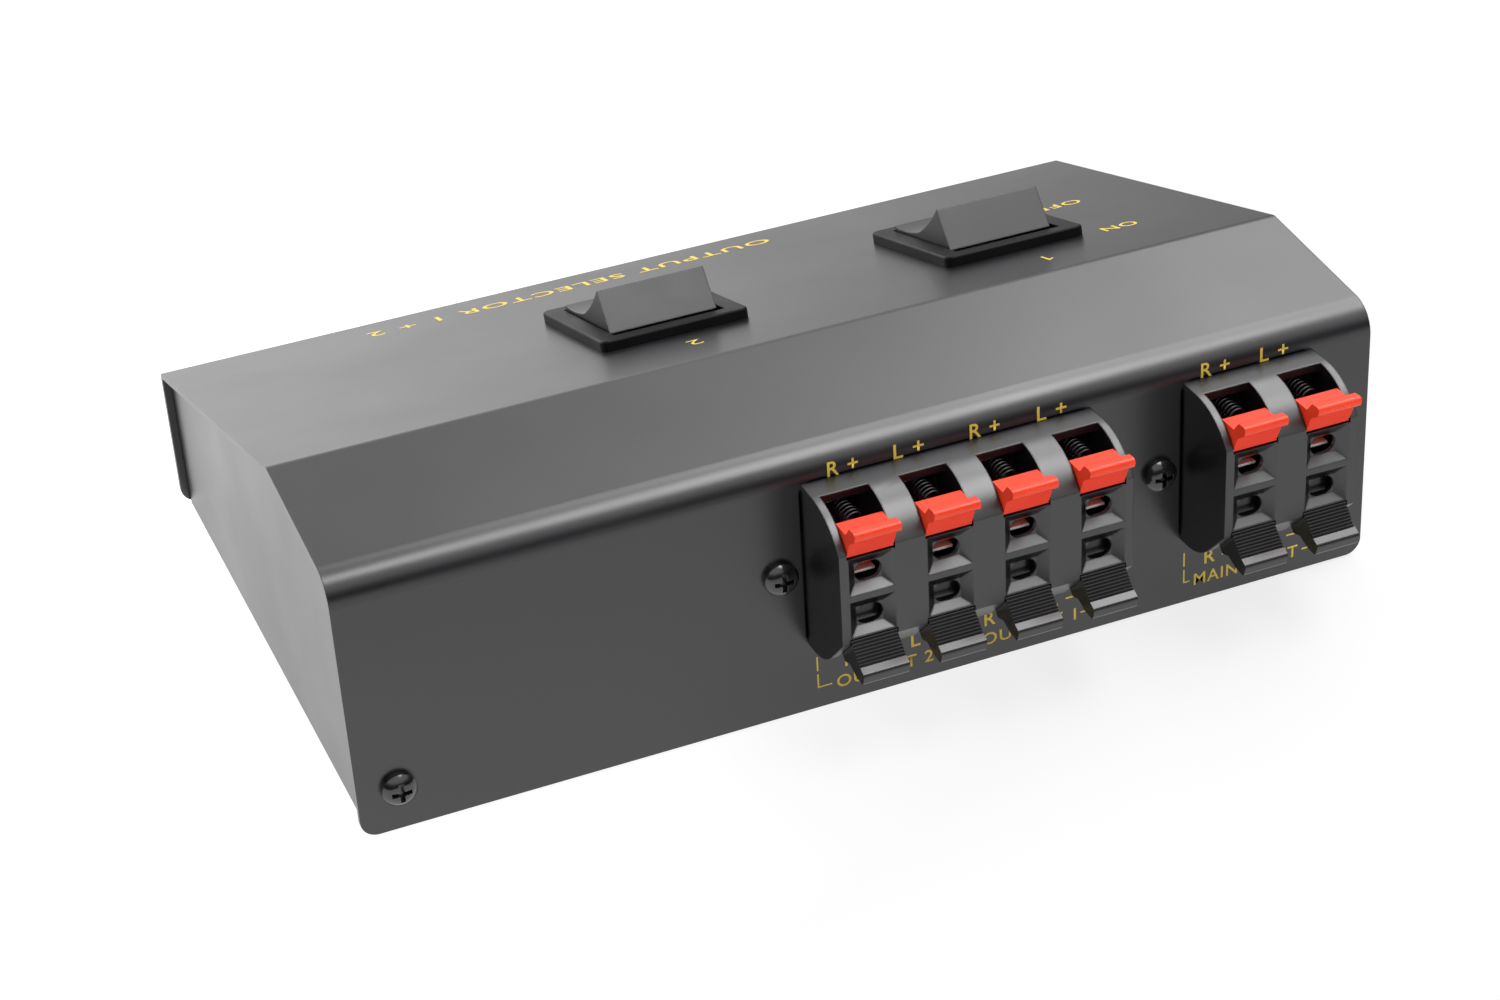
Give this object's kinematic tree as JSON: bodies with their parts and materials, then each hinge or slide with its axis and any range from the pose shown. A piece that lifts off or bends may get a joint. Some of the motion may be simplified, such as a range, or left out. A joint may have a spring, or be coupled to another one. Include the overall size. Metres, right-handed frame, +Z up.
{
  "type": "speaker selector switch",
  "caption": "Two-way stereo loudspeaker selector in a sloping black steel case, with two rocker switches and push terminals with red and black levers.",
  "frame": {"origin": "centre of the base, on the surface the case rests on", "axes": "+X along the case's length, to the right when facing the terminals; -Y out of the terminal panel; +Z up"},
  "size_m": [0.17, 0.1279, 0.0484],
  "materials": {
    "case_paint": "satin, finely textured",
    "tray_paint": "satin, finely textured",
    "screw_steel": "blackened, glossy",
    "nut_steel": "plated",
    "block_plastic": "satin",
    "red_plastic": "glossy",
    "black_plastic": "glossy",
    "contact_metal": "plated, satin",
    "spring_steel": "bright",
    "bezel_plastic": "satin",
    "rocker_plastic": "matte",
    "plunger_plastic": "matte",
    "red_wire": "satin",
    "white_wire": "satin",
    "black_wire": "satin"
  },
  "bodies": {
    "case": {"top_cover": "case_paint", "base_tray": "tray_paint", "cover_screws": "screw_steel", "terminal_block_screws": "screw_steel", "terminal_block_nuts": "nut_steel", "speaker_terminal_block": "block_plastic", "amplifier_terminal_block": "block_plastic", "speaker_2_right_plus_contact": "contact_metal", "speaker_2_right_plus_spring": "spring_steel", "speaker_2_right_minus_contact": "contact_metal", "speaker_2_right_minus_spring": "spring_steel", "speaker_2_left_plus_contact": "contact_metal", "speaker_2_left_plus_spring": "spring_steel", "speaker_2_left_minus_contact": "contact_metal", "speaker_2_left_minus_spring": "spring_steel", "speaker_1_right_plus_contact": "contact_metal", "speaker_1_right_plus_spring": "spring_steel", "speaker_1_right_minus_contact": "contact_metal", "speaker_1_right_minus_spring": "spring_steel", "speaker_1_left_plus_contact": "contact_metal", "speaker_1_left_plus_spring": "spring_steel", "speaker_1_left_minus_contact": "contact_metal", "speaker_1_left_minus_spring": "spring_steel", "amplifier_right_plus_contact": "contact_metal", "amplifier_right_plus_spring": "spring_steel", "amplifier_right_minus_contact": "contact_metal", "amplifier_right_minus_spring": "spring_steel", "amplifier_left_plus_contact": "contact_metal", "amplifier_left_plus_spring": "spring_steel", "amplifier_left_minus_contact": "contact_metal", "amplifier_left_minus_spring": "spring_steel", "switch_2_housing": "bezel_plastic", "switch_2_terminals": "contact_metal", "switch_1_housing": "bezel_plastic", "switch_1_terminals": "contact_metal", "right_plus_wires": "red_wire", "left_plus_wires": "white_wire", "right_minus_wires": "black_wire", "left_minus_wires": "black_wire"},
    "speaker_2_right_plus_lever": {"speaker_2_right_plus_lever": "red_plastic"},
    "speaker_2_right_minus_lever": {"speaker_2_right_minus_lever": "black_plastic"},
    "speaker_2_left_plus_lever": {"speaker_2_left_plus_lever": "red_plastic"},
    "speaker_2_left_minus_lever": {"speaker_2_left_minus_lever": "black_plastic"},
    "speaker_1_right_plus_lever": {"speaker_1_right_plus_lever": "red_plastic"},
    "speaker_1_right_minus_lever": {"speaker_1_right_minus_lever": "black_plastic"},
    "speaker_1_left_plus_lever": {"speaker_1_left_plus_lever": "red_plastic"},
    "speaker_1_left_minus_lever": {"speaker_1_left_minus_lever": "black_plastic"},
    "amplifier_right_plus_lever": {"amplifier_right_plus_lever": "red_plastic"},
    "amplifier_right_minus_lever": {"amplifier_right_minus_lever": "black_plastic"},
    "amplifier_left_plus_lever": {"amplifier_left_plus_lever": "red_plastic"},
    "amplifier_left_minus_lever": {"amplifier_left_minus_lever": "black_plastic"},
    "switch_2_rocker": {"switch_2_rocker": "rocker_plastic", "switch_2_plungers": "plunger_plastic", "switch_2_plunger_springs": "spring_steel"},
    "switch_2_blades": {"switch_2_blades": "contact_metal"},
    "switch_1_rocker": {"switch_1_rocker": "rocker_plastic", "switch_1_plungers": "plunger_plastic", "switch_1_plunger_springs": "spring_steel"},
    "switch_1_blades": {"switch_1_blades": "contact_metal"}
  },
  "joints": [
    {"name": "speaker_2_right_plus_press", "type": "hinge", "parent": "case", "child": "speaker_2_right_plus_lever", "pos_m": [-0.00755, -0.0636, 0.034], "axis": [-1, 0, 0], "range_deg": [0, 12], "stiffness_Nm_per_rad": 0.05, "springref_deg": -11.46, "deforming": ["speaker_2_right_plus_spring"]},
    {"name": "speaker_2_right_minus_press", "type": "hinge", "parent": "case", "child": "speaker_2_right_minus_lever", "pos_m": [-0.00755, -0.0636, 0.0215], "axis": [1, 0, 0], "range_deg": [0, 12], "stiffness_Nm_per_rad": 0.05, "springref_deg": -11.46, "deforming": ["speaker_2_right_minus_spring"]},
    {"name": "speaker_2_left_plus_press", "type": "hinge", "parent": "case", "child": "speaker_2_left_plus_lever", "pos_m": [0.00515, -0.0636, 0.034], "axis": [-1, 0, 0], "range_deg": [0, 12], "stiffness_Nm_per_rad": 0.05, "springref_deg": -11.46, "deforming": ["speaker_2_left_plus_spring"]},
    {"name": "speaker_2_left_minus_press", "type": "hinge", "parent": "case", "child": "speaker_2_left_minus_lever", "pos_m": [0.00515, -0.0636, 0.0215], "axis": [1, 0, 0], "range_deg": [0, 12], "stiffness_Nm_per_rad": 0.05, "springref_deg": -11.46, "deforming": ["speaker_2_left_minus_spring"]},
    {"name": "speaker_1_right_plus_press", "type": "hinge", "parent": "case", "child": "speaker_1_right_plus_lever", "pos_m": [0.01785, -0.0636, 0.034], "axis": [-1, 0, 0], "range_deg": [0, 12], "stiffness_Nm_per_rad": 0.05, "springref_deg": -11.46, "deforming": ["speaker_1_right_plus_spring"]},
    {"name": "speaker_1_right_minus_press", "type": "hinge", "parent": "case", "child": "speaker_1_right_minus_lever", "pos_m": [0.01785, -0.0636, 0.0215], "axis": [1, 0, 0], "range_deg": [0, 12], "stiffness_Nm_per_rad": 0.05, "springref_deg": -11.46, "deforming": ["speaker_1_right_minus_spring"]},
    {"name": "speaker_1_left_plus_press", "type": "hinge", "parent": "case", "child": "speaker_1_left_plus_lever", "pos_m": [0.03055, -0.0636, 0.034], "axis": [-1, 0, 0], "range_deg": [0, 12], "stiffness_Nm_per_rad": 0.05, "springref_deg": -11.46, "deforming": ["speaker_1_left_plus_spring"]},
    {"name": "speaker_1_left_minus_press", "type": "hinge", "parent": "case", "child": "speaker_1_left_minus_lever", "pos_m": [0.03055, -0.0636, 0.0215], "axis": [1, 0, 0], "range_deg": [0, 12], "stiffness_Nm_per_rad": 0.05, "springref_deg": -11.46, "deforming": ["speaker_1_left_minus_spring"]},
    {"name": "amplifier_right_plus_press", "type": "hinge", "parent": "case", "child": "amplifier_right_plus_lever", "pos_m": [0.05665, -0.0636, 0.034], "axis": [-1, 0, 0], "range_deg": [0, 12], "stiffness_Nm_per_rad": 0.05, "springref_deg": -11.46, "deforming": ["amplifier_right_plus_spring"]},
    {"name": "amplifier_right_minus_press", "type": "hinge", "parent": "case", "child": "amplifier_right_minus_lever", "pos_m": [0.05665, -0.0636, 0.0215], "axis": [1, 0, 0], "range_deg": [0, 12], "stiffness_Nm_per_rad": 0.05, "springref_deg": -11.46, "deforming": ["amplifier_right_minus_spring"]},
    {"name": "amplifier_left_plus_press", "type": "hinge", "parent": "case", "child": "amplifier_left_plus_lever", "pos_m": [0.06935, -0.0636, 0.034], "axis": [-1, 0, 0], "range_deg": [0, 12], "stiffness_Nm_per_rad": 0.05, "springref_deg": -11.46, "deforming": ["amplifier_left_plus_spring"]},
    {"name": "amplifier_left_minus_press", "type": "hinge", "parent": "case", "child": "amplifier_left_minus_lever", "pos_m": [0.06935, -0.0636, 0.0215], "axis": [1, 0, 0], "range_deg": [0, 12], "stiffness_Nm_per_rad": 0.05, "springref_deg": -11.46, "deforming": ["amplifier_left_minus_spring"]},
    {"name": "switch_2_rock", "type": "hinge", "parent": "case", "child": "switch_2_rocker", "pos_m": [-0.0131, 0.00709, 0.0331], "axis": [1, 0, 0], "range_deg": [0, 31]},
    {"name": "switch_2_blades_rock", "type": "hinge", "parent": "case", "child": "switch_2_blades", "pos_m": [-0.0131, 0.00487, 0.02541], "axis": [1, 0, 0], "range_deg": [-15.5, 0]},
    {"name": "switch_1_rock", "type": "hinge", "parent": "case", "child": "switch_1_rocker", "pos_m": [0.0471, 0.00709, 0.0331], "axis": [1, 0, 0], "range_deg": [0, 31]},
    {"name": "switch_1_blades_rock", "type": "hinge", "parent": "case", "child": "switch_1_blades", "pos_m": [0.0471, 0.00487, 0.02541], "axis": [1, 0, 0], "range_deg": [-15.5, 0]}
  ],
  "couplings": [
    {"joint": "switch_2_blades_rock", "follows": "switch_2_rock", "ratio": -0.5},
    {"joint": "switch_1_blades_rock", "follows": "switch_1_rock", "ratio": -0.5}
  ]
}
